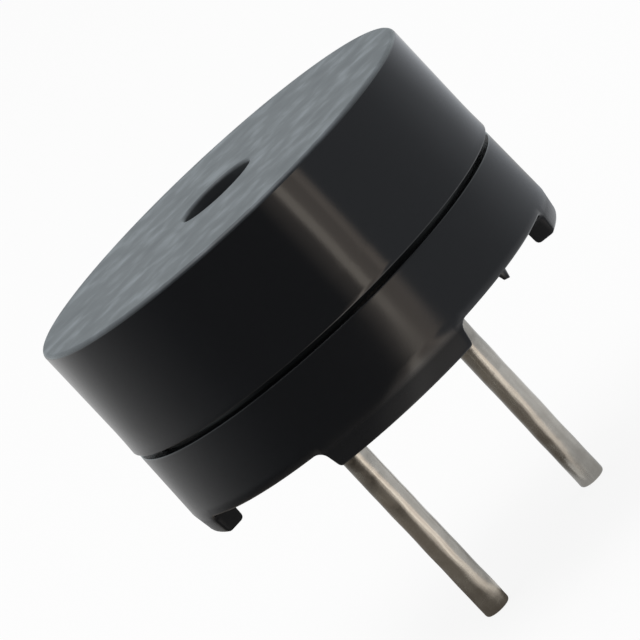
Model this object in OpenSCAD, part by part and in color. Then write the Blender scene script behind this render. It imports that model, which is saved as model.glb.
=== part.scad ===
// Round magnetic buzzer: a two-part moulded case around an electromagnet, with two wire leads.
// All sizes are in millimetres. The feet stand on the board at z = 0, the leads run down from there
// along the X axis pair, and the sound hole faces up.

/* [Case] */
// Largest outside diameter, at the lip of the cap
case_d = 12; // [11.4:0.1:13]
// Height from the board to the top of the cap
case_h = 6.2; // [5.9:0.1:7]
// Height of the middle of the seam between base and cap
seam_z = 2.72; // [2.4:0.02:3]
// Open groove left at the seam
seam_gap = 0.18; // [0.1:0.02:0.24]
// Thickness of the top of the cap
cap_top_t = 0.6; // [0.4:0.05:0.7]
// Thickness of the skirt of the cap at its lip
skirt_t = 0.55; // [0.45:0.05:0.6]
// Rounding of the upper edge of the cap
cap_edge_r = 0.12; // [0.06:0.02:0.2]
// Drop of the cap wall radius from the flare to the top edge
cap_draft = 0.02; // [0:0.01:0.05]
// Outward flare of the lip of the cap
lip_flare = 0.03; // [0.01:0.01:0.06]
// Height of that flare
lip_flare_h = 0.5; // [0.3:0.1:1]
// Step of the base wall behind the lip of the cap
base_step = 0.07; // [0.03:0.01:0.1]
// Widening of the base wall from the seam to the rim
base_draft = 0.06; // [0:0.01:0.06]
// Diameter of the sound hole
sound_d = 2.2; // [1.6:0.1:3]
// Bevel around the sound hole
sound_bevel = 0.08; // [0.02:0.02:0.14]

/* [Feet] */
// Height of the feet below the rim of the base
foot_h = 0.64; // [0.5:0.02:0.7]
// Radial thickness of a foot
foot_t = 0.62; // [0.5:0.02:0.7]
// Angle that a foot covers
foot_arc = 45; // [36:1:54]
// Angle of the first foot from the line through the leads
foot_turn = 51; // [40:1:60]
// Step of the feet behind the rim
foot_inset = 0.05; // [0.03:0.01:0.1]
// Inward lean of the outer face of a foot
foot_lean = 0.05; // [0:0.01:0.08]
// Rounding of the lower outer edge of a foot
foot_edge_r = 0.14; // [0.06:0.02:0.2]
// Rounding in the corner between a foot and the rim
foot_root_r = 0.18; // [0.06:0.01:0.2]
// Height of the moulding gate stub on the rim
gate_h = 0.22; // [0.08:0.02:0.26]
// Angle of the gate stub
gate_turn = 272; // [260:1:280]

/* [Leads] */
// Distance between the middles of the leads
lead_pitch = 5; // [4.6:0.1:5.4]
// Diameter of a lead
lead_d = 0.75; // [0.6:0.05:0.8]
// Reach of the leads below the board face
lead_reach = 6.2; // [3:0.1:8]
// Bevel at the cut end of a lead
lead_bevel = 0.1; // [0.04:0.02:0.2]

/* [Electromagnet] */
// Depth of the resin filled recess under the base
recess_depth = 0.4; // [0.36:0.02:0.46]
// Thickness of the floor of the base
floor_t = 0.9; // [0.8:0.05:1]
// Thickness of the yoke plate
yoke_t = 0.5; // [0.4:0.05:0.6]
// Diameter of the pole core
core_d = 2; // [1.6:0.1:2.4]
// Stand of the core above the bobbin
core_proud = 0.25; // [0.1:0.05:0.3]
// Part of the bore that the winding fills
coil_share = 0.53; // [0.48:0.01:0.58]
// Diameter of the coil wire, with its enamel
wire_d = 0.11; // [0.09:0.01:0.14]
// Thickness of the bobbin walls
bobbin_t = 0.2; // [0.14:0.02:0.24]
// Air gap between core and diaphragm
air_gap = 0.2; // [0.1:0.05:0.3]
// Part of the case height that is sound chamber, above the diaphragm
chamber_share = 0.16; // [0.13:0.01:0.18]
// Thickness of the diaphragm
diaphragm_t = 0.08; // [0.06:0.01:0.12]
// Diameter of the armature disc
armature_d = 3.6; // [3:0.1:5]
// Thickness of the armature disc
armature_t = 0.3; // [0.2:0.05:0.4]

/* [Fits] */
// Clearance around parts that drop or slide into each other
slip = 0.05; // [0.03:0.01:0.08]

/* [Hidden] */
$fn = 96;

// points in each rounded edge, and the overlap that joins the pieces of one moulding
arc_steps = 6;
join = 0.1;

// case radii
case_r = case_d / 2;
cap_wall_r = case_r - lip_flare;
cap_top_r = cap_wall_r - cap_draft;
lip_edge_r = 0.05;
skirt_in_r = case_r - skirt_t;
base_top_r = case_r - base_step;
base_rim_r = base_top_r + base_draft;
base_edge_r = 0.04;
spigot_t = 0.65;
spigot_r = skirt_in_r - slip;
bore_r = spigot_r - spigot_t;
ledge_w = 0.3;
pocket_r = bore_r + ledge_w;
cap_lap = 0.15;
cavity_r = pocket_r - cap_lap;
sound_r = sound_d / 2;

// feet, gate stub and the recess inside them
foot_count = 4;
foot_out_r = base_rim_r - foot_inset;
foot_in_r = foot_out_r - foot_t;
gate_r = 0.16;
gate_tip_r = 0.08;
recess_margin = case_d / 30;
recess_r = foot_in_r - recess_margin;

// levels of the base, from the board upward
rim_z = foot_h;
potting_sink = recess_depth / 5;
potting_z = rim_z + potting_sink;
potting_t = recess_depth - potting_sink;
floor_z = rim_z + recess_depth;
yoke_z = floor_z + floor_t;
coil_z = yoke_z + yoke_t;
shoulder_z = seam_z - seam_gap / 2;
lip_z = seam_z + seam_gap / 2;

// levels of the sound chamber and the magnet, from the top of the case downward
ceiling_z = case_h - cap_top_t;
diaphragm_top_z = ceiling_z - chamber_share * case_h;
pocket_rim = 0.22;
spigot_top_z = diaphragm_top_z + pocket_rim;
seat_z = diaphragm_top_z - diaphragm_t;
core_top_z = seat_z - air_gap;
bobbin_top_z = core_top_z - core_proud;

// leads, each with a collar that starts at the face of the resin and ends inside the floor
lead_r = lead_d / 2;
lead_x = lead_pitch / 2;
collar_ratio = 1.6;
collar_r = collar_ratio * lead_r;
collar_cover = floor_t / 6;
collar_top_z = yoke_z - collar_cover;
groove_t = 0.06;
groove_half_h = 0.12;
groove_z = (floor_z + collar_top_z) / 2;

// core, bobbin and winding
core_r = core_d / 2;
tenon_step = 0.3;
tenon_r = core_r - tenon_step;
hub_in_r = core_r + slip;
hub_r = hub_in_r + bobbin_t;
coil_r = coil_share * bore_r;
flange_step = 0.2;
flange_r = coil_r + flange_step;
bobbin_h = bobbin_top_z - coil_z;
wound_h = bobbin_h - 2 * bobbin_t;
coil_turns = floor(wound_h / wire_d);
turn_h = wound_h / coil_turns;
turn_span = 80;

// wires and solder
wire_r = wire_d / 2;
wire_step = 0.2;
wire_y = flange_r + wire_step;
wire_bend_r = 0.15;
wire_room = 0.08;
wire_hole_r = wire_r + wire_room;
wire_high_z = coil_z + bobbin_t + wire_r;
wire_low_z = potting_z + potting_t / 2;
wire_bearing = atan2(-wire_y, lead_x);
wire_end_gap = 0.08;
wire_low_run = norm([lead_x, wire_y]) - collar_r - wire_end_gap;
solder_t = 0.24;
solder_cover = 0.04;
solder_half_h = potting_t / 2 - solder_cover;

// yoke, magnet and diaphragm
disc_r = bore_r - slip;
magnet_room = 0.28;
magnet_in_r = wire_y + magnet_room;
diaphragm_r = pocket_r - slip;

// points of an arc about a middle, between two angles
function arc(x, y, r, from, to) = [
    for (i = [0 : arc_steps])
        let (a = from + (to - from) * i / arc_steps)
        [x + r * cos(a), y + r * sin(a)]
];

module cap() {
    color("#1c1d1f")
    rotate_extrude()
    polygon(concat(
        [[sound_r, ceiling_z], [cavity_r, ceiling_z], [cavity_r, spigot_top_z]],
        [[skirt_in_r, spigot_top_z], [skirt_in_r, lip_z]],
        arc(case_r - lip_edge_r, lip_z + lip_edge_r, lip_edge_r, -90, 0),
        [[cap_wall_r, lip_z + lip_flare_h]],
        arc(cap_top_r - cap_edge_r, case_h - cap_edge_r, cap_edge_r, 0, 90),
        [[sound_r + sound_bevel, case_h], [sound_r, case_h - sound_bevel]]
    ));
}

module base_shell() {
    rotate_extrude()
    polygon(concat(
        [[0, floor_z], [recess_r, floor_z], [recess_r, rim_z]],
        arc(base_rim_r - base_edge_r, rim_z + base_edge_r, base_edge_r, -90, 0),
        arc(base_top_r - base_edge_r, shoulder_z - base_edge_r, base_edge_r, 0, 90),
        [[spigot_r, shoulder_z], [spigot_r, spigot_top_z], [pocket_r, spigot_top_z]],
        [[pocket_r, seat_z], [bore_r, seat_z], [bore_r, yoke_z], [0, yoke_z]]
    ));
}

module foot() {
    rotate([0, 0, -foot_arc / 2])
    rotate_extrude(angle = foot_arc)
    polygon(concat(
        [[foot_in_r, rim_z + join], [foot_in_r, 0]],
        arc(foot_out_r - foot_lean - foot_edge_r, foot_edge_r, foot_edge_r, -90, 0),
        [[foot_out_r, rim_z], [foot_out_r, rim_z + join]]
    ));
    for (side = [0, 1])
        mirror([0, side, 0])
        rotate([0, 0, foot_arc / 2])
        foot_corner();
}

// concave corner where the end of a foot runs into the rim
module foot_corner() {
    corner_in = foot_in_r + join / 2;
    translate([corner_in, 0, 0])
    rotate([90, 0, 90])
    linear_extrude(foot_t - join - foot_lean)
    difference() {
        translate([-join, rim_z - foot_root_r])
        square(foot_root_r + join);
        translate([foot_root_r, rim_z - foot_root_r])
        circle(foot_root_r);
    }
}

module gate_stub() {
    rotate([0, 0, gate_turn])
    translate([base_rim_r - base_edge_r - gate_r, 0, rim_z - gate_h])
    cylinder(h = gate_h + join, r1 = gate_tip_r, r2 = gate_r);
}

module base() {
    color("#1b1c1e")
    difference() {
        union() {
            base_shell();
            for (i = [0 : foot_count - 1])
                rotate([0, 0, foot_turn + i * 360 / foot_count])
                foot();
            gate_stub();
        }
        both_sides() {
            lead_collar();
            wire_hole();
        }
    }
}

// the same shape at each lead
module both_sides() {
    for (turn = [0, 180])
        rotate([0, 0, turn])
        children();
}

// collar with a groove that keys it into the floor
module lead_collar() {
    translate([lead_x, 0, 0])
    rotate_extrude()
    polygon([
        [0, potting_z], [collar_r, potting_z], [collar_r, groove_z - groove_half_h],
        [collar_r - groove_t, groove_z], [collar_r, groove_z + groove_half_h],
        [collar_r, collar_top_z], [0, collar_top_z]
    ]);
}

module lead_shank() {
    translate([lead_x, 0, 0])
    rotate_extrude()
    polygon([
        [0, -lead_reach], [lead_r - lead_bevel, -lead_reach], [lead_r, lead_bevel - lead_reach],
        [lead_r, potting_z], [0, potting_z]
    ]);
}

module lead() {
    color("#b9b2a3") {
        lead_shank();
        lead_collar();
    }
}

module lead_pin_1() {
    rotate([0, 0, 180])
    lead();
}

module lead_pin_2() {
    lead();
}

module wire_hole() {
    translate([0, wire_y, floor_z - join])
    cylinder(h = floor_t + yoke_t + 2 * join, r = wire_hole_r);
}

module yoke_plate() {
    color("#8d8f92")
    difference() {
        translate([0, 0, yoke_z])
        cylinder(h = yoke_t, r = disc_r);
        translate([0, 0, yoke_z - join])
        cylinder(h = yoke_t + 2 * join, r = tenon_r);
        both_sides()
        wire_hole();
    }
}

module pole_core() {
    color("#9a9b9d")
    rotate_extrude()
    polygon([
        [0, yoke_z], [tenon_r, yoke_z], [tenon_r, coil_z], [core_r, coil_z],
        [core_r, core_top_z], [0, core_top_z]
    ]);
}

module coil_bobbin() {
    color("#e4ddc8")
    rotate_extrude()
    polygon([
        [hub_in_r, coil_z], [flange_r, coil_z], [flange_r, coil_z + bobbin_t], [hub_r, coil_z + bobbin_t],
        [hub_r, bobbin_top_z - bobbin_t], [flange_r, bobbin_top_z - bobbin_t], [flange_r, bobbin_top_z], [hub_in_r, bobbin_top_z]
    ]);
}

// the outer layer shows its turns as a row of round ridges
module coil_winding() {
    color("#b0652e")
    translate([0, 0, coil_z + bobbin_t])
    rotate_extrude()
    polygon(concat(
        [[hub_r, wound_h], [hub_r, 0]],
        [for (i = [0 : coil_turns - 1]) each turn_points(i)]
    ));
}

function turn_points(i) = arc(coil_r - turn_h / 2, (i + 0.5) * turn_h, turn_h / 2, -turn_span, turn_span);

module ring_magnet() {
    color("#3b3a3c")
    translate([0, 0, coil_z])
    difference() {
        cylinder(h = bobbin_h, r = disc_r);
        translate([0, 0, -join])
        cylinder(h = bobbin_h + 2 * join, r = magnet_in_r);
    }
}

module diaphragm() {
    color("#b4b6b9")
    translate([0, 0, seat_z])
    cylinder(h = diaphragm_t, r = diaphragm_r);
}

module armature_disc() {
    color("#a3a5a8")
    translate([0, 0, diaphragm_top_z])
    cylinder(h = armature_t, d = armature_d);
}

// wire from the winding, down through the yoke and the floor, and across to the lead
module coil_wire() {
    color("#b0652e") {
        translate([0, wire_y, wire_high_z])
        rotate([0, 0, -90])
        mirror([0, 0, 1])
        wire_leg(wire_y - coil_r);
        translate([0, wire_y, wire_low_z + wire_bend_r])
        cylinder(h = wire_high_z - wire_low_z - 2 * wire_bend_r, r = wire_r);
        translate([0, wire_y, wire_low_z])
        rotate([0, 0, wire_bearing])
        wire_leg(wire_low_run);
    }
}

// a bend from the vertical and the straight run after it, along X
module wire_leg(reach) {
    translate([wire_bend_r, 0, wire_bend_r])
    rotate([90, 0, 0])
    rotate([0, 0, 180])
    rotate_extrude(angle = 90)
    translate([wire_bend_r, 0])
    circle(wire_r);
    translate([wire_bend_r, 0, 0])
    rotate([0, 90, 0])
    cylinder(h = reach - wire_bend_r, r = wire_r);
}

module coil_wire_1() {
    rotate([0, 0, 180])
    coil_wire();
}

module coil_wire_2() {
    coil_wire();
}

module solder_bead() {
    translate([lead_x, 0, wire_low_z])
    rotate_extrude()
    polygon([
        for (i = [-arc_steps : arc_steps])
            let (a = i * 90 / arc_steps)
            [collar_r + solder_t * cos(a), solder_half_h * sin(a)]
    ]);
}

module solder_joint() {
    color("#a9abac")
    difference() {
        solder_bead();
        coil_wire();
    }
}

module solder_joint_1() {
    rotate([0, 0, 180])
    solder_joint();
}

module solder_joint_2() {
    solder_joint();
}

module potting_seal() {
    color("#232427")
    difference() {
        translate([0, 0, potting_z])
        cylinder(h = potting_t, r = recess_r);
        both_sides() {
            lead_collar();
            solder_bead();
            coil_wire();
        }
    }
}

cap();
base();
lead_pin_1();
lead_pin_2();
yoke_plate();
pole_core();
coil_bobbin();
coil_winding();
ring_magnet();
diaphragm();
armature_disc();
coil_wire_1();
coil_wire_2();
solder_joint_1();
solder_joint_2();
potting_seal();
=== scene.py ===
# %% [markdown]
# A round magnetic buzzer is a small sounder that is soldered to a circuit board.
# A coil pulls an iron diaphragm inside a moulded black case, and two tinned leads carry the current.
# The CAD model is already packed, so this lesson loads it as a fixed frame and dresses it.
# The case, the leads and the resin are modelled again with finer edges, and the hidden works keep
# their solids and get finishes. All of it is drawn in the frame of the CAD model.

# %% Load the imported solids
import math

import bmesh
import bpy
from mathutils import Matrix, Quaternion, Vector, noise


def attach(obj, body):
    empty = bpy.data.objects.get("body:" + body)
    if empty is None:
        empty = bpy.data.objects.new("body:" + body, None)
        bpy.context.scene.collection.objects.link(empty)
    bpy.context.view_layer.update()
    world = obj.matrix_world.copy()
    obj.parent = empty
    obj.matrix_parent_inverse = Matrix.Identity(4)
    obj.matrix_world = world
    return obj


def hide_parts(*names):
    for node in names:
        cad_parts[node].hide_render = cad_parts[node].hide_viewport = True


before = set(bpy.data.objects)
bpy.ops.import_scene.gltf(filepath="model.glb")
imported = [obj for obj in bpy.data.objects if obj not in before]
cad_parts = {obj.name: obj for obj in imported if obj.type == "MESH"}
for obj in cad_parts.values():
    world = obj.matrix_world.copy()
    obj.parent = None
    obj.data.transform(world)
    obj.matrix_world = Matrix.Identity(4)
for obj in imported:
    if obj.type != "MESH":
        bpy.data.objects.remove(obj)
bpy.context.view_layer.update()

MM = 0.001
print("solids", len(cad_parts))

# %% [markdown]
# The photograph looks at the buzzer from a little above the board plane, with a long lens.
# The picture is turned, so the case leans in the frame while the part itself stands upright.
# A camera could be tilted until it looks right, but a direction, a distance and a roll are easier to
# read, so the camera is set from these three.

# %% Camera at the viewing angle of the photograph
VIEW_AZIMUTH = math.radians(-36.87)
VIEW_ELEVATION = math.radians(10.47)
VIEW_ROLL = math.radians(-43.25)
VIEW_DISTANCE = 115.8 * MM
AIM = Vector((-0.258, 0.193, 1.993)) * MM
FOCAL_LENGTH = 259.8
SENSOR_WIDTH = 36
CLIP_START = 0.01


def direction(azimuth, elevation):
    """Unit vector toward a viewer: azimuth 0 stands on the -Y side, and 90 degrees on the +X side."""
    flat = math.cos(elevation)
    return Vector((math.sin(azimuth) * flat, -math.cos(azimuth) * flat, math.sin(elevation)))


scene = bpy.context.scene
scene.view_settings.view_transform = "Standard"
lens = bpy.data.cameras.new("photo_camera")
lens.lens = FOCAL_LENGTH
lens.sensor_width = SENSOR_WIDTH
lens.clip_start = CLIP_START
camera = bpy.data.objects.new("photo_camera", lens)
toward_lens = direction(VIEW_AZIMUTH, VIEW_ELEVATION)
camera.location = AIM + toward_lens * VIEW_DISTANCE
level = (-toward_lens).to_track_quat("-Z", "Y")
camera.rotation_euler = (level @ Quaternion((0, 0, 1), VIEW_ROLL)).to_euler()
scene.collection.objects.link(camera)
scene.camera = camera
print("camera in mm", [round(x / MM, 1) for x in camera.location])

# %% [markdown]
# Every finish below is a small tree of nodes, so one function adds a node and wires it, and a few
# more name the steps that come again and again. Each of these gives back a socket, ready to be wired.
# Colours are written as sRGB hex values, as a colour picker shows them, and Blender calculates in
# linear light, so one more function converts them.

# %% Helpers for finishes
def linear(code):
    """Linear RGBA of an sRGB hex colour."""
    parts = [int(code[i:i + 2], 16) / 255 for i in (1, 3, 5)]
    return [c / 12.92 if c <= 0.04045 else ((c + 0.055) / 1.055) ** 2.4 for c in parts] + [1.0]


def add_node(tree, kind, inputs=None, **settings):
    """Adds a node, sets its properties, and fills or links its sockets by name or number."""
    node = tree.nodes.new(kind)
    for name, value in settings.items():
        setattr(node, name, value)
    for name, value in (inputs or {}).items():
        if isinstance(value, bpy.types.NodeSocket):
            tree.links.new(value, node.inputs[name])
        else:
            node.inputs[name].default_value = value
    return node


def calculate(tree, operation, first, second):
    """One step of arithmetic on two values."""
    return add_node(tree, "ShaderNodeMath", {0: first, 1: second}, operation=operation).outputs[0]


def remap(tree, value, start, end, low=0.0, high=1.0):
    """Goes from low to high while a value goes from start to end, and stays level beyond."""
    return add_node(tree, "ShaderNodeMapRange", {
        "Value": value, "From Min": start, "From Max": end, "To Min": low, "To Max": high}).outputs[0]


def fade(tree, value, edge, low=0.0, high=1.0):
    """The same between two distances in millimetres."""
    return remap(tree, value, edge[0] * MM, edge[1] * MM, low, high)


def blotches(tree, place, size, detail, **extra):
    """A noise with blotches about this many millimetres wide."""
    inputs = {"Vector": place, "Scale": 1 / (size * MM), "Detail": detail, **extra}
    return add_node(tree, "ShaderNodeTexNoise", inputs).outputs[0]


def blend(tree, share, first, second):
    """A colour between two colours."""
    return add_node(tree, "ShaderNodeMix", {0: share, 6: first, 7: second}, data_type="RGBA").outputs[2]


def bump(tree, height, depth, **extra):
    """A relief of this many millimetres that only bends the light."""
    inputs = {"Strength": 1.0, "Distance": depth * MM, "Height": height, **extra}
    return add_node(tree, "ShaderNodeBump", inputs).outputs[0]


def start_finish(name):
    """An empty material and the object coordinates that its patterns read."""
    material = bpy.data.materials.new(name)
    material.use_nodes = True
    tree = material.node_tree
    tree.nodes.clear()
    place = add_node(tree, "ShaderNodeTexCoord").outputs["Object"]
    return material, tree, place


def end_finish(tree, inputs):
    """The surface itself, wired to the output."""
    shader = add_node(tree, "ShaderNodeBsdfPrincipled", inputs)
    add_node(tree, "ShaderNodeOutputMaterial", {"Surface": shader.outputs[0]})


print("mid grey in linear light", [round(c, 4) for c in linear("#808080")[:3]])

# %% [markdown]
# The case is PBT, a tough plastic that is injection moulded with black pigment.
# The sides come from a polished mould and show long soft reflections. The top comes from an insert
# with a fine eroded grain, so it looks greyer when it is seen at a flat angle, and it has picked up
# pale rubs from handling. The bore of the sound hole comes from the same insert, and it is painted a
# little paler than the plastic as painted light in the hole. The notches between the feet are eroded
# too, and the outer faces of the feet a little, so they stay dull. The feet also reflect less than the
# wall, as painted shade for the shadow under the case, so they stay dark.
# The real grain is finer than a pixel, so it is drawn as fine as still shows.
# One tree serves both mouldings. Masks by height and radius find the top, the bore, the feet and the
# notches.

# %% Moulded black PBT
TOP_Z = 6.2
TOP_EDGE = (TOP_Z - 0.12, TOP_Z - 0.005)
BORE_EDGE = (1.25, 1.15)
FOOT_EDGE = (0.66, 0.5)
NOTCH_EDGE = (5.88, 5.78)
GRAIN_SIZE = 0.07
GRAIN_DEPTH = 0.0003
RUB_SIZE = 0.9
SWAY_SIZE = 3.0
SWAY_DEPTH = 0.012
BORE_PAINTED_LIGHT = 0.1
FOOT_ERODED = 0.26
WALL_SHEEN = 0.5
# Painted shade: the feet reflect less than the wall, for the shadow under the case.
FOOT_PAINTED_SHADE_SHEEN = 0.16
PLASTIC_IOR = 1.5


def moulded_pbt(name, colour, rub_and_bore_light_tone, wall_gloss, eroded_gloss):
    """Black moulded plastic: dark and satin, with a fine grain, a slow sway and pale rubs on top, a bore
    painted paler as painted light, and feet that reflect less as painted shade.
    """
    material, tree, place = start_finish(name)
    height = add_node(tree, "ShaderNodeSeparateXYZ", {0: place}).outputs["Z"]
    flat = add_node(tree, "ShaderNodeVectorMath", {0: place, 1: (1, 1, 0)}, operation="MULTIPLY")
    length = add_node(tree, "ShaderNodeVectorMath", {0: flat.outputs[0]}, operation="LENGTH")
    radius = length.outputs["Value"]
    top = fade(tree, height, TOP_EDGE)
    bore = fade(tree, radius, BORE_EDGE)
    foot = fade(tree, height, FOOT_EDGE)
    inside = fade(tree, radius, NOTCH_EDGE, FOOT_ERODED, 1.0)
    notch = calculate(tree, "MULTIPLY", inside, foot)
    insert = calculate(tree, "MAXIMUM", top, bore)
    eroded = calculate(tree, "MAXIMUM", insert, notch)

    blotch = blotches(tree, place, RUB_SIZE, 4.0, Roughness=0.5, Distortion=0.2)
    rub = remap(tree, blotch, 0.50, 0.76, 0.45, 1.0)
    rub_top = calculate(tree, "MULTIPLY", rub, top)
    # Painted light: the bore is painted a little paler than the plastic.
    bore_painted_light = calculate(tree, "MULTIPLY", bore, BORE_PAINTED_LIGHT)
    pale = calculate(tree, "MAXIMUM", rub_top, bore_painted_light)
    gloss = remap(tree, eroded, 0.0, 1.0, wall_gloss, eroded_gloss)
    patchy = remap(tree, blotch, 0.3, 0.7, 1.1, 0.88)

    slow = bump(tree, blotches(tree, place, SWAY_SIZE, 1.0), SWAY_DEPTH)
    fine = bump(tree, blotches(tree, place, GRAIN_SIZE, 2.0), GRAIN_DEPTH, Normal=slow)
    # The lower specular level on the feet is painted shade.
    end_finish(tree, {
        "Base Color": blend(tree, pale, linear(colour), linear(rub_and_bore_light_tone)),
        "Roughness": calculate(tree, "MULTIPLY", gloss, patchy),
        "IOR": PLASTIC_IOR,
        "Specular IOR Level": remap(tree, foot, 0.0, 1.0, WALL_SHEEN, FOOT_PAINTED_SHADE_SHEEN),
        "Normal": fine})
    return material


cap_finish = moulded_pbt("moulded_black_pbt_cap", "#17181a", "#63686e", 0.09, 0.48)
base_finish = moulded_pbt("moulded_black_pbt_base", "#161719", "#3a3b3e", 0.14, 0.62)
print("plastics", cap_finish.name, base_finish.name)

# %% [markdown]
# A turned shape such as a case is easiest to make as a lathe would: draw half of the section and
# sweep it around the axis. Corners of the section are rounded first with a vertex bevel, because
# one bevel on a flat outline is cleaner than many on the finished ring.
# Everything is drawn in millimetres and shrunk at the end, because Blender's bevel and merge
# tolerances are too coarse for parts of a few hundredths of a millimetre in metres.

# %% Helpers for turned pieces
ROUND_STEPS = 5
TURN_STEPS = 144
MERGE_GAP = 0.0005
SHARP_ANGLE = math.radians(35)


def draw_section(corners):
    """Outline of a section from (radius, height, rounding) corners, with its corners rounded."""
    bm = bmesh.new()
    points = [bm.verts.new((radius, 0, height)) for radius, height, _ in corners]
    bm.faces.new(points)
    for rounding in sorted({corner[2] for corner in corners if corner[2]}):
        picked = [p for p, corner in zip(points, corners) if corner[2] == rounding]
        bmesh.ops.bevel(bm, geom=picked, offset=rounding, offset_type="OFFSET", affect="VERTICES",
                        segments=ROUND_STEPS, profile=0.5, material=-1)
    bmesh.ops.delete(bm, geom=bm.faces[:], context="FACES_ONLY")
    on_axis = [e for e in bm.edges if all(abs(v.co.x) < 1e-6 for v in e.verts)]
    bmesh.ops.delete(bm, geom=on_axis, context="EDGES")
    return bm


def turn(bm, steps=TURN_STEPS):
    """Sweeps the outline once around the Z axis and closes it."""
    bmesh.ops.spin(bm, geom=bm.verts[:] + bm.edges[:], cent=(0, 0, 0), axis=(0, 0, 1),
                   angle=math.tau, steps=steps, use_merge=True, use_duplicate=False)
    bmesh.ops.remove_doubles(bm, verts=bm.verts[:], dist=MERGE_GAP)
    bmesh.ops.recalc_face_normals(bm, faces=bm.faces[:])


def make_object(bm, name, material):
    """Shrinks a shape drawn in millimetres and makes it an object of the scene."""
    bmesh.ops.scale(bm, vec=(MM, MM, MM), verts=bm.verts[:])
    mesh = bpy.data.meshes.new(name)
    bm.to_mesh(mesh)
    bm.free()
    mesh.materials.append(material)
    piece = bpy.data.objects.new(name, mesh)
    scene.collection.objects.link(piece)
    return piece


def finish_piece(bm, name, material, nodes):
    """Makes a piece of the part, smooths its shading and puts it in the frame."""
    piece = make_object(bm, name, material)
    piece.data.shade_smooth()
    piece.data.set_sharp_from_angle(angle=SHARP_ANGLE)
    shading = piece.modifiers.new("even_shading", "WEIGHTED_NORMAL")
    shading.keep_sharp = True
    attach(piece, "root")
    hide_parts(*nodes)
    size = [round(x / MM, 2) for x in piece.dimensions]
    print(name, "faces", len(piece.data.polygons), "size in mm", size)


print("steps around a turned piece", TURN_STEPS, "and in a rounded corner", ROUND_STEPS)

# %% [markdown]
# The cap is a cup with a flat top and a round sound hole in its middle.
# Its wall narrows a little toward the top, so that it leaves the mould, and flares at the lip.
# It could be a cylinder with cuts, but one section drawn around the wall gives the cavity, the hole
# and every rounded edge together.

# %% Cap
CASE_R = 6.0
CAP_WALL_R = 5.97
CAP_TOP_R = 5.95
SKIRT_IN_R = 5.45
CAVITY_R = 4.9
SOUND_R = 1.1
LIP_Z = 2.81
FLARE_H = 0.5
SPIGOT_TOP_Z = 4.828
CEILING_Z = 5.6
LIP_ROUND = 0.03
FLARE_ROUND = 0.3
TOP_ROUND = 0.12
HOLE_ROUND = 0.1

cap_section = [
    (SOUND_R, CEILING_Z, 0.0),
    (CAVITY_R, CEILING_Z, 0.0),
    (CAVITY_R, SPIGOT_TOP_Z, 0.0),
    (SKIRT_IN_R, SPIGOT_TOP_Z, 0.0),
    (SKIRT_IN_R, LIP_Z, 0.0),
    (CASE_R, LIP_Z, LIP_ROUND),
    (CAP_WALL_R, LIP_Z + FLARE_H, FLARE_ROUND),
    (CAP_TOP_R, TOP_Z, TOP_ROUND),
    (SOUND_R, TOP_Z, HOLE_ROUND),
]
cap = draw_section(cap_section)
turn(cap)
finish_piece(cap, "cap_shell", cap_finish, ["cap"])

# %% [markdown]
# The base is the lower half of the case. Its spigot reaches up into the cap, and a groove stays open
# where the two meet. The shell is turned like the cap. It starts one degree further round, so that
# the steps of the sweep meet the ends of the feet, which are pulled out of its rim next.

# %% Base shell
RIM_Z = 0.64
FLOOR_Z = 1.04
YOKE_Z = 1.94
SHOULDER_Z = 2.63
SEAT_Z = 4.528
RECESS_R = 4.92
FOOT_IN_R = 5.32
RIM_R = 5.99
SHOULDER_R = 5.93
SPIGOT_R = 5.4
POCKET_R = 5.05
CHAMBER_R = 4.75
WALL_LOW = (5.981, 0.94)
WALL_HIGH = (5.932, 2.56)
SHOULDER_ROUND = 0.02
FIRST_STEP = math.radians(1.0)

base_section = [
    (0.0, FLOOR_Z, 0.0),
    (RECESS_R, FLOOR_Z, 0.0),
    (RECESS_R, RIM_Z, 0.0),
    (FOOT_IN_R, RIM_Z, 0.0),
    (RIM_R, RIM_Z, 0.0),
    (*WALL_LOW, 0.0),
    (*WALL_HIGH, 0.0),
    (SHOULDER_R, SHOULDER_Z, SHOULDER_ROUND),
    (SPIGOT_R, SHOULDER_Z, 0.0),
    (SPIGOT_R, SPIGOT_TOP_Z, 0.0),
    (POCKET_R, SPIGOT_TOP_Z, 0.0),
    (POCKET_R, SEAT_Z, 0.0),
    (CHAMBER_R, SEAT_Z, 0.0),
    (CHAMBER_R, YOKE_Z, 0.0),
    (0.0, YOKE_Z, 0.0),
]
base = draw_section(base_section)
bmesh.ops.rotate(base, verts=base.verts[:], matrix=Matrix.Rotation(FIRST_STEP, 3, "Z"))
turn(base)
print("base shell faces", len(base.faces))

# %% [markdown]
# Four feet stand on the rim and keep the case off the board. They could be blocks joined to the
# shell, but a foot that is pulled out of faces of the rim is one piece with it from the start.
# The outer faces and the ends lean in, so that the mould lets go of them. Bevels then round three
# sets of edges in turn: the root in the notch, the sole at the board, and every brink that is left.

# %% Feet on the rim
FOOT_TURNS = (51, 141, 231, 321)
FOOT_HALF_ARC = 22.5
FOOT_DRAFT = 0.1
END_DRAFT = math.radians(0.9)
END_WINDOW = 0.5
FOOT_MID_R = (FOOT_IN_R + RIM_R) / 2
CORNER_ANGLE = 0.9
NEAR = 0.001
ACROSS_FOOT = 0.5
ALONG_FOOT = 0.01
ROOT_ROUND = 0.22
ROOT_STEPS = 5
SOLE_ROUND = 0.12
SOLE_STEPS = 4
BRINK_ROUND = 0.055
BRINK_STEPS = 3


def bearing(point):
    """Angle of a point around the axis, in degrees."""
    return math.degrees(math.atan2(point.y, point.x))


def apart(first, second):
    """Smaller angle between two bearings, in degrees."""
    return abs((first - second + 180) % 360 - 180)


def in_a_foot(point):
    """True where a point of the rim lies under a foot."""
    if not FOOT_IN_R < point.xy.length < RIM_R or abs(point.z - RIM_Z) > NEAR:
        return False
    return any(apart(bearing(point), middle) < FOOT_HALF_ARC for middle in FOOT_TURNS)


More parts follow.
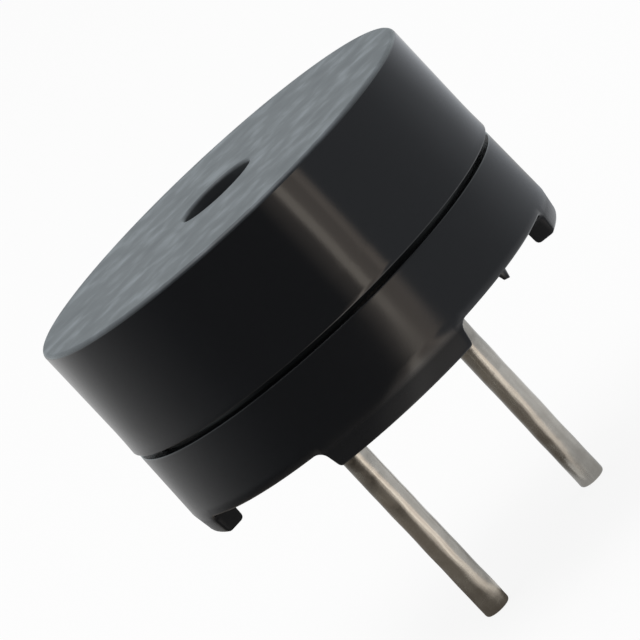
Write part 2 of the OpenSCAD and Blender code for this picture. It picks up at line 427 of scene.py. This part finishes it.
def low_on_rim(edge):
    """True for an edge at or below the rim, and outside the recess."""
    return all(v.co.z < RIM_Z + NEAR and v.co.xy.length > FOOT_IN_R - NEAR for v in edge.verts)


def corner_edges(bm, convex):
    """Clear corners of the feet, either the outward or the inward ones."""
    bm.normal_update()
    clear = [e for e in bm.edges if e.calc_face_angle(0) > CORNER_ANGLE]
    return [e for e in clear if e.is_convex == convex and low_on_rim(e)]


def radial_span(edge):
    """How much further out one end of an edge lies than the other."""
    return abs(edge.verts[0].co.xy.length - edge.verts[1].co.xy.length)


def bevel_edges(bm, edges, size, steps):
    """Rounds a set of edges."""
    bmesh.ops.bevel(bm, geom=edges, offset=size, offset_type="OFFSET", affect="EDGES", segments=steps,
                    profile=0.5, material=-1, clamp_overlap=False)


rim_faces = [f for f in base.faces if in_a_foot(f.calc_center_median())]
pulled = bmesh.ops.extrude_face_region(base, geom=rim_faces)
foot_low = [g for g in pulled["geom"] if isinstance(g, bmesh.types.BMVert)]
bmesh.ops.delete(base, geom=rim_faces, context="FACES")
bmesh.ops.translate(base, verts=foot_low, vec=(0, 0, -RIM_Z))
outer_low = [v for v in foot_low if v.co.xy.length > FOOT_MID_R]
draft = (RIM_R - FOOT_DRAFT) / RIM_R
bmesh.ops.scale(base, vec=(draft, draft, 1), verts=outer_low)
for middle in FOOT_TURNS:
    for side in (-1, 1):
        end_at = middle + side * FOOT_HALF_ARC
        end_low = [v for v in foot_low if apart(bearing(v.co), end_at) < END_WINDOW]
        bmesh.ops.rotate(base, verts=end_low, matrix=Matrix.Rotation(-side * END_DRAFT, 3, "Z"))
bmesh.ops.recalc_face_normals(base, faces=base.faces[:])

root = [e for e in corner_edges(base, False) if radial_span(e) > ACROSS_FOOT]
bevel_edges(base, root, ROOT_ROUND, ROOT_STEPS)
sole = [e for e in corner_edges(base, True)
        if max(v.co.z for v in e.verts) < NEAR and radial_span(e) < ALONG_FOOT]
bevel_edges(base, sole, SOLE_ROUND, SOLE_STEPS)
brink = corner_edges(base, True)
bevel_edges(base, brink, BRINK_ROUND, BRINK_STEPS)
bmesh.ops.recalc_face_normals(base, faces=base.faces[:])
print("feet: open edges", sum(e.is_boundary for e in base.edges), "edges at the root", len(root),
      "sole", len(sole), "brink", len(brink))

# %% [markdown]
# The plastic enters the mould through a small gate. When the part is broken off, a torn stub stays
# on the rim, in the notch between two feet. A tapered cone with a tilted tip gives that torn end.

# %% Gate stub
GATE_TURN = math.radians(272)
GATE_R = 0.16
GATE_TIP_R = 0.08
GATE_H = 0.22
GATE_ROOT = 0.1
GATE_STEPS = 20
TEAR_TILT = math.radians(22)

gate_length = GATE_H + GATE_ROOT
gate_reach = RIM_R - GATE_R
gate_place = (gate_reach * math.cos(GATE_TURN), gate_reach * math.sin(GATE_TURN),
              RIM_Z + (GATE_ROOT - GATE_H) / 2)
stub = bmesh.ops.create_cone(base, cap_ends=True, segments=GATE_STEPS, radius1=GATE_TIP_R,
                             radius2=GATE_R, depth=gate_length)
tip = [v for v in stub["verts"] if v.co.z < 0]
bmesh.ops.rotate(base, verts=tip, cent=(0, 0, -gate_length / 2), matrix=Matrix.Rotation(TEAR_TILT, 3, "Y"))
bmesh.ops.translate(base, verts=stub["verts"], vec=gate_place)
finish_piece(base, "base_shell", base_finish, ["base"])

# %% [markdown]
# The leads are drawn copper-clad wire with a coat of tin. Hot tin runs along the wire before it
# sets, so the surface is bright but streaky, warmer where the coat is thin, and slightly lumpy.
# The streaks are a noise that is stretched along the lead.

# %% Tinned wire
STREAK_SIZE = 0.16
STREAK_LENGTH = 9
SPOT_SIZE = 0.35
DENT_DEPTH = 0.009


def tinned_wire(name):
    """Tin on drawn wire: a soft warm grey metal with long streaks and a satin gleam."""
    material, tree, place = start_finish(name)
    along = add_node(tree, "ShaderNodeMapping", {"Vector": place, "Scale": (1, 1, 1 / STREAK_LENGTH)})
    streak = blotches(tree, along.outputs[0], STREAK_SIZE, 3.0, Roughness=0.6)
    spot = blotches(tree, place, SPOT_SIZE, 3.0)
    coat = calculate(tree, "MULTIPLY", streak, spot)
    end_finish(tree, {
        "Base Color": blend(tree, remap(tree, coat, 0.12, 0.42), linear("#a6a199"), linear("#bcb8b0")),
        "Metallic": 1.0,
        "Roughness": remap(tree, spot, 0.3, 0.7, 0.18, 0.28),
        "Normal": bump(tree, coat, DENT_DEPTH)})
    return material


lead_finish = tinned_wire("tinned_drawn_wire")
print("wire", lead_finish.name)

# %% [markdown]
# Each lead is a round wire with a bevelled cut at its tip and a collar that holds it in the floor.
# A plain cylinder would look too clean, so the wire is turned with many rings, and each point moves
# by a few thousandths of a millimetre, as a dipped coat of tin does.

# %% Leads
LEAD_R = 0.375
LEAD_X = 2.5
LEAD_TIP_Z = -6.2
LEAD_STEPS = 40
TIP_ROUND = 0.09
COLLAR_R = 0.6
COLLAR_Z = 0.78
COLLAR_TOP_Z = 1.79
SHANK_RINGS = 58
SHANK_MIN = 5
TIN_LUMP = 0.012
TIN_TOP_Z = 0.7
TIN_IN_R = 0.1
LUMPS_AROUND = 3
LUMPS_ALONG = 1.5
LUMPS_SHIFT = 20

lead_section = [
    (0.0, LEAD_TIP_Z, 0.0),
    (LEAD_R, LEAD_TIP_Z, TIP_ROUND),
    (LEAD_R, COLLAR_Z, 0.0),
    (COLLAR_R, COLLAR_Z, 0.0),
    (COLLAR_R, COLLAR_TOP_Z, 0.0),
    (0.0, COLLAR_TOP_Z, 0.0),
]
for number, side in ((1, -1), (2, 1)):
    lead = draw_section(lead_section)
    shank = [e for e in lead.edges if e.calc_length() > SHANK_MIN]
    bmesh.ops.subdivide_edges(lead, edges=shank, cuts=SHANK_RINGS)
    turn(lead, steps=LEAD_STEPS)
    for v in lead.verts:
        if v.co.z < TIN_TOP_Z and v.co.xy.length > TIN_IN_R:
            spot_in_noise = Vector((v.co.x * LUMPS_AROUND, v.co.y * LUMPS_AROUND,
                                    v.co.z * LUMPS_ALONG + LUMPS_SHIFT * number))
            v.co.xy *= 1 + noise.noise(spot_in_noise) * TIN_LUMP / LEAD_R
    bmesh.ops.translate(lead, verts=lead.verts[:], vec=(side * LEAD_X, 0, 0))
    finish_piece(lead, f"lead_{number}", lead_finish, [f"lead_pin_{number}"])

# %% [markdown]
# Under the base, black epoxy closes the recess and holds the leads. It sets in the air, so its face
# is deep and glossy like a lacquer, with a slow ripple and some dust that settled before it was hard.

# %% Poured epoxy finish
RIPPLE_SIZE = 1.6
RIPPLE_DEPTH = 0.03
DUST_SIZE = 0.12
EPOXY_IOR = 1.55


def poured_epoxy(name):
    """Black epoxy that set in the air: deep, glossy, with a faint slow ripple and a little dust."""
    material, tree, place = start_finish(name)
    ripple = blotches(tree, place, RIPPLE_SIZE, 1.0)
    dust = blotches(tree, place, DUST_SIZE, 2.0)
    end_finish(tree, {
        "Base Color": blend(tree, remap(tree, dust, 0.6, 0.8), linear("#1d1e21"), linear("#3c3c3e")),
        "Roughness": remap(tree, dust, 0.3, 0.8, 0.10, 0.30),
        "IOR": EPOXY_IOR,
        "Normal": bump(tree, ripple, RIPPLE_DEPTH)})
    return material


resin_finish = poured_epoxy("poured_black_epoxy")
print("resin", resin_finish.name)

# %% [markdown]
# The resin is poured with the part upside down. It lies almost flat and creeps up every wall that it
# touches. A turned disc gives the creep at the outer wall. Around the leads the creep isn't round
# about the axis, so the face is turned with many rings, and points near a lead move toward its tip.

# %% Resin in the recess
RESIN_Z = 0.72
CREEP_H = 0.07
CREEP_R = 0.14
CREEP_BAND = 0.35
LEAD_CREEP_H = 1.6 * CREEP_H
FACE_RINGS = 60
FACE_MIN = 3
FACE_TOP_Z = FLOOR_Z - 0.1

resin_section = [
    (0.0, RESIN_Z, 0.0),
    (RECESS_R - CREEP_BAND, RESIN_Z, 0.0),
    (RECESS_R, RESIN_Z - CREEP_H, 0.0),
    (RECESS_R, FLOOR_Z, 0.0),
    (0.0, FLOOR_Z, 0.0),
]
resin = draw_section(resin_section)
low_edges = [e for e in resin.edges if all(v.co.z < FLOOR_Z for v in e.verts)]
face_edge = [e for e in low_edges if e.calc_length() > FACE_MIN]
bmesh.ops.subdivide_edges(resin, edges=face_edge, cuts=FACE_RINGS)
turn(resin)
for v in resin.verts:
    if v.co.z < FACE_TOP_Z:
        for side in (-1, 1):
            gap = max((v.co.xy - Vector((side * LEAD_X, 0))).length - LEAD_R, 0)
            v.co.z -= LEAD_CREEP_H * math.exp(-gap / CREEP_R)
finish_piece(resin, "resin_fill", resin_finish, ["potting_seal"])

# %% [markdown]
# The works inside are hidden by the case, apart from the armature that shows through the sound hole.
# Their solids have the right shapes already, so they stay, and each gets the finish of its material.
# One tree with a few settings serves them all: a colour, a worn colour, whether it is metal, a gloss
# and the size of its grain.

# %% Finishes of the works inside
WORKS_DEPTH = 0.002
WORKS = {
    "plated_soft_iron": (("yoke_plate", "pole_core"), "#8d8f92", "#a7a9ab", 1.0, 0.34, 0.30),
    "natural_moulded_nylon": (("coil_bobbin",), "#e4ddc8", "#d3cbb2", 0.0, 0.45, 0.50),
    "enamelled_copper_wire": (("coil_winding", "coil_wire_1", "coil_wire_2"), "#a85b28", "#c47a42",
                              1.0, 0.26, 0.11),
    "bonded_ferrite": (("ring_magnet",), "#39383a", "#4b4a4c", 0.0, 0.72, 0.09),
    # The rolled iron is set darker than bare iron: its own grey with painted shade for the inside of the
    # case, seen through the sound hole.
    "rolled_iron_with_painted_shade": (("diaphragm", "armature_disc"), "#7f8184", "#96989b", 1.0, 0.32, 0.20),
    "bright_solder": (("solder_joint_1", "solder_joint_2"), "#a9abac", "#c6c8c9", 1.0, 0.22, 0.40),
}
for name, (nodes, colour, worn, metallic, rough, grain_size) in WORKS.items():
    material, tree, place = start_finish(name)
    grain = blotches(tree, place, grain_size, 3.0)
    end_finish(tree, {
        "Base Color": blend(tree, remap(tree, grain, 0.35, 0.65), linear(colour), linear(worn)),
        "Metallic": metallic,
        "Roughness": remap(tree, grain, 0.3, 0.7, rough - 0.06, rough + 0.08),
        "Normal": bump(tree, grain, WORKS_DEPTH)})
    for node in nodes:
        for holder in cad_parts[node].material_slots:
            holder.material = material
    print(name, "on", ", ".join(nodes))

# %% [markdown]
# The photograph is a product shot on pure white. A white sheet lies under the leads, and soft light
# comes from everywhere. The camera sees sheet and sky as plain white. In a reflection the sky is a
# cool white behind the part and dark in front of it, like the unlit room behind a photographer.
# For the rest they only light the part, so its colours stay as they are written.
# The sheet keeps part of its own shading, so the shadow of the part stays on it.

# %% White sheet and soft sky
SKY_LIGHT = 0.7
ROOM_LEVEL = 0.15
ROOM_START = 0.6
SHEET_GLOW = 0.88
SHEET_HALF = 1000
WHITE = (1, 1, 1, 1)
BLACK = (0, 0, 0, 1)
PAPER = (0.9, 0.9, 0.9, 1)


def seen_directly(tree):
    """1 for a ray that shows the background: from the camera, from a gloss or through glass."""
    ray = add_node(tree, "ShaderNodeLightPath").outputs
    either = calculate(tree, "MAXIMUM", ray["Is Camera Ray"], ray["Is Glossy Ray"])
    return calculate(tree, "MAXIMUM", either, ray["Is Transmission Ray"])


def stage_piece(bm, name, material):
    """Something that stands around the part and doesn't belong to it."""
    piece = make_object(bm, name, material)
    return piece


world = bpy.data.worlds.new("soft_sky")
world.use_nodes = True
sky_tree = world.node_tree
sky_tree.nodes.clear()
way = add_node(sky_tree, "ShaderNodeTexCoord").outputs["Generated"]
in_front = add_node(sky_tree, "ShaderNodeVectorMath", {
    0: way, 1: direction(VIEW_AZIMUTH, 0)}, operation="DOT_PRODUCT").outputs["Value"]
room = remap(sky_tree, in_front, 0.0, ROOM_START, 1.0, ROOM_LEVEL)
mirrored = blend(sky_tree, room, BLACK, linear("#f2fcff"))
in_gloss = add_node(sky_tree, "ShaderNodeLightPath").outputs["Is Glossy Ray"]
sky = add_node(sky_tree, "ShaderNodeBackground", {
    "Color": blend(sky_tree, in_gloss, WHITE, mirrored),
    "Strength": remap(sky_tree, seen_directly(sky_tree), 0.0, 1.0, SKY_LIGHT, 1.0)})
add_node(sky_tree, "ShaderNodeOutputWorld", {"Surface": sky.outputs[0]})
scene.world = world

sheet_finish, sheet_tree, _ = start_finish("white_paper_sheet")
paper = add_node(sheet_tree, "ShaderNodeBsdfDiffuse", {"Color": PAPER})
glow = add_node(sheet_tree, "ShaderNodeEmission", {"Color": WHITE, "Strength": 1.0})
glow_share = calculate(sheet_tree, "MULTIPLY", seen_directly(sheet_tree), SHEET_GLOW)
both = add_node(sheet_tree, "ShaderNodeMixShader", {
    0: glow_share, 1: paper.outputs[0], 2: glow.outputs[0]})
add_node(sheet_tree, "ShaderNodeOutputMaterial", {"Surface": both.outputs[0]})

sheet = bmesh.new()
bmesh.ops.create_grid(sheet, x_segments=1, y_segments=1, size=SHEET_HALF)
bmesh.ops.translate(sheet, verts=sheet.verts[:], vec=(0, 0, LEAD_TIP_Z))
stage_piece(sheet, "white_sheet", sheet_finish)
print("sheet at", LEAD_TIP_Z, "mm")

# %% [markdown]
# Black plastic shows mostly what it reflects. In the photograph the front is dark, where it mirrors
# the unlit room behind the camera. The sides grow lighter toward the white sheet behind the part, and
# a warm gap of light on the right draws a golden line down the wall.
# Photographers lay boards around a part for this. One graduated board does it here, with its tone
# set by the direction around the part. It glows by itself and is seen only in reflections, so the sheet
# stays white, and its tones, the warm gap among them, are painted reflections.
# The leads mirror the board close by, so near the middle its pattern is wider, turned and paler.
# The glowing board gets no shadow, so it is dimmed right under the part as a painted shadow of the
# case, and everywhere short of the far back as painted shade.

# %% Graduated board
BOARD_NEAR = 1
BOARD_FAR = 1000
BOARD_LIFT = 0.02
BOARD_LEVEL = 3.6
BOARD_TONES = (
    (-164, 0.62, "#ffffff"), (-144, 0.80, "#ffffff"), (-120, 0.74, "#ffffff"), (-100, 0.53, "#ffffff"),
    (-80, 0.27, "#ffffff"), (-60, 0.08, "#ffffff"), (-45, 0.03, "#ffe9cf"), (8, 0.03, "#ffe9cf"),
    (14, 0.55, "#ffefe0"), (18, 0.75, "#ffefe0"), (19.5, 3.6, "#fff3e4"), (22.5, 3.6, "#fff3e4"),
    (24.0, 1.8, "#ffefe0"), (29.5, 1.6, "#ffefe0"), (30.5, 2.4, "#ffefe0"), (33.0, 2.2, "#ffefe0"),
    (35.5, 0.55, "#f3f8ff"), (90, 0.57, "#f3f8ff"), (110, 0.68, "#f3f8ff"), (140, 0.70, "#f3f8ff"),
    (156, 0.70, "#f3f8ff"), (172, 0.64, "#ffffff"),
)
TWIST = 20 / 360
TWIST_REACH = (10, 65)
NEAR_SPREAD = 0.5
SPREAD_REACH = (22, 40)
NEAR_GAMMA = 0.45
GAMMA_REACH = (22, 34)
BACK_PAINTED_SHADE = 0.62
BACK_REACH = (35, 70)
CASE_SHADOW_DIM = 0.35
CASE_SHADOW_REACH = (3, 14)

board_finish, board_tree, board_place = start_finish("painted_reflection_board")
facing = add_node(board_tree, "ShaderNodeMapping", {
    "Vector": board_place, "Rotation": (0, 0, -VIEW_AZIMUTH)})
across = add_node(board_tree, "ShaderNodeSeparateXYZ", {0: facing.outputs[0]}).outputs
toward = calculate(board_tree, "MULTIPLY", across["Y"], -1.0)
angle = calculate(board_tree, "ARCTAN2", across["X"], toward)
reach = add_node(board_tree, "ShaderNodeVectorMath", {0: board_place}, operation="LENGTH").outputs["Value"]
twist = fade(board_tree, reach, TWIST_REACH, 0.5 + TWIST, 0.5)
spread = fade(board_tree, reach, SPREAD_REACH, NEAR_SPREAD / math.tau, 1 / math.tau)
tone_place = add_node(board_tree, "ShaderNodeMath", {
    0: angle, 1: spread, 2: twist}, operation="MULTIPLY_ADD").outputs[0]
tones = add_node(board_tree, "ShaderNodeValToRGB", {0: tone_place})
stops = tones.color_ramp.elements
stops.remove(stops[1])
for number, (degrees, tone_level, tint) in enumerate(BOARD_TONES):
    position = degrees / 360 + 0.5
    stop = stops.new(position) if number else stops[0]
    stop.position = position
    stop.color = [c * tone_level / BOARD_LEVEL for c in linear(tint)[:3]] + [1.0]
near_gamma = fade(board_tree, reach, GAMMA_REACH, NEAR_GAMMA, 1.0)
paled = add_node(board_tree, "ShaderNodeGamma", {0: tones.outputs[0], 1: near_gamma})
# Painted shade: the board is dimmed everywhere short of the far back.
back = fade(board_tree, across["Y"], BACK_REACH, BACK_PAINTED_SHADE * BOARD_LEVEL, BOARD_LEVEL)
# Painted shadow of the case: the board is dimmed right under the part.
under = fade(board_tree, reach, CASE_SHADOW_REACH, CASE_SHADOW_DIM, 1.0)
board_glow = add_node(board_tree, "ShaderNodeEmission", {
    0: paled.outputs[0], 1: calculate(board_tree, "MULTIPLY", back, under)})
add_node(board_tree, "ShaderNodeOutputMaterial", {"Surface": board_glow.outputs[0]})

board = bmesh.new()
ends = [board.verts.new((end, 0, LEAD_TIP_Z + BOARD_LIFT)) for end in (BOARD_NEAR, BOARD_FAR)]
board.edges.new(ends)
turn(board)
board_piece = stage_piece(board, "graduated_board", board_finish)
for ray_kind in ("camera", "diffuse", "shadow", "transmission", "volume_scatter"):
    setattr(board_piece, "visible_" + ray_kind, False)
print("board tones", len(stops))

# %% [markdown]
# A broad lamp above gives the top light of a studio and the soft shadow on the sheet.
# It is large and far away, so the shadow stays soft, and the sky does the rest.

# %% Lamp
LAMP_WATTS = 0.27
LAMP_SIDE = 220
LAMP_PLACE = Vector((-60, -20, 300))
LAMP_TARGET = Vector((0, 0, 2))

light = bpy.data.lights.new("soft_top_lamp", "AREA")
light.shape = "SQUARE"
light.size = LAMP_SIDE * MM
light.energy = LAMP_WATTS
lamp = bpy.data.objects.new("soft_top_lamp", light)
lamp.location = LAMP_PLACE * MM
lamp.rotation_euler = (LAMP_TARGET - LAMP_PLACE).to_track_quat("-Z", "Y").to_euler()
lamp.visible_camera = False
scene.collection.objects.link(lamp)
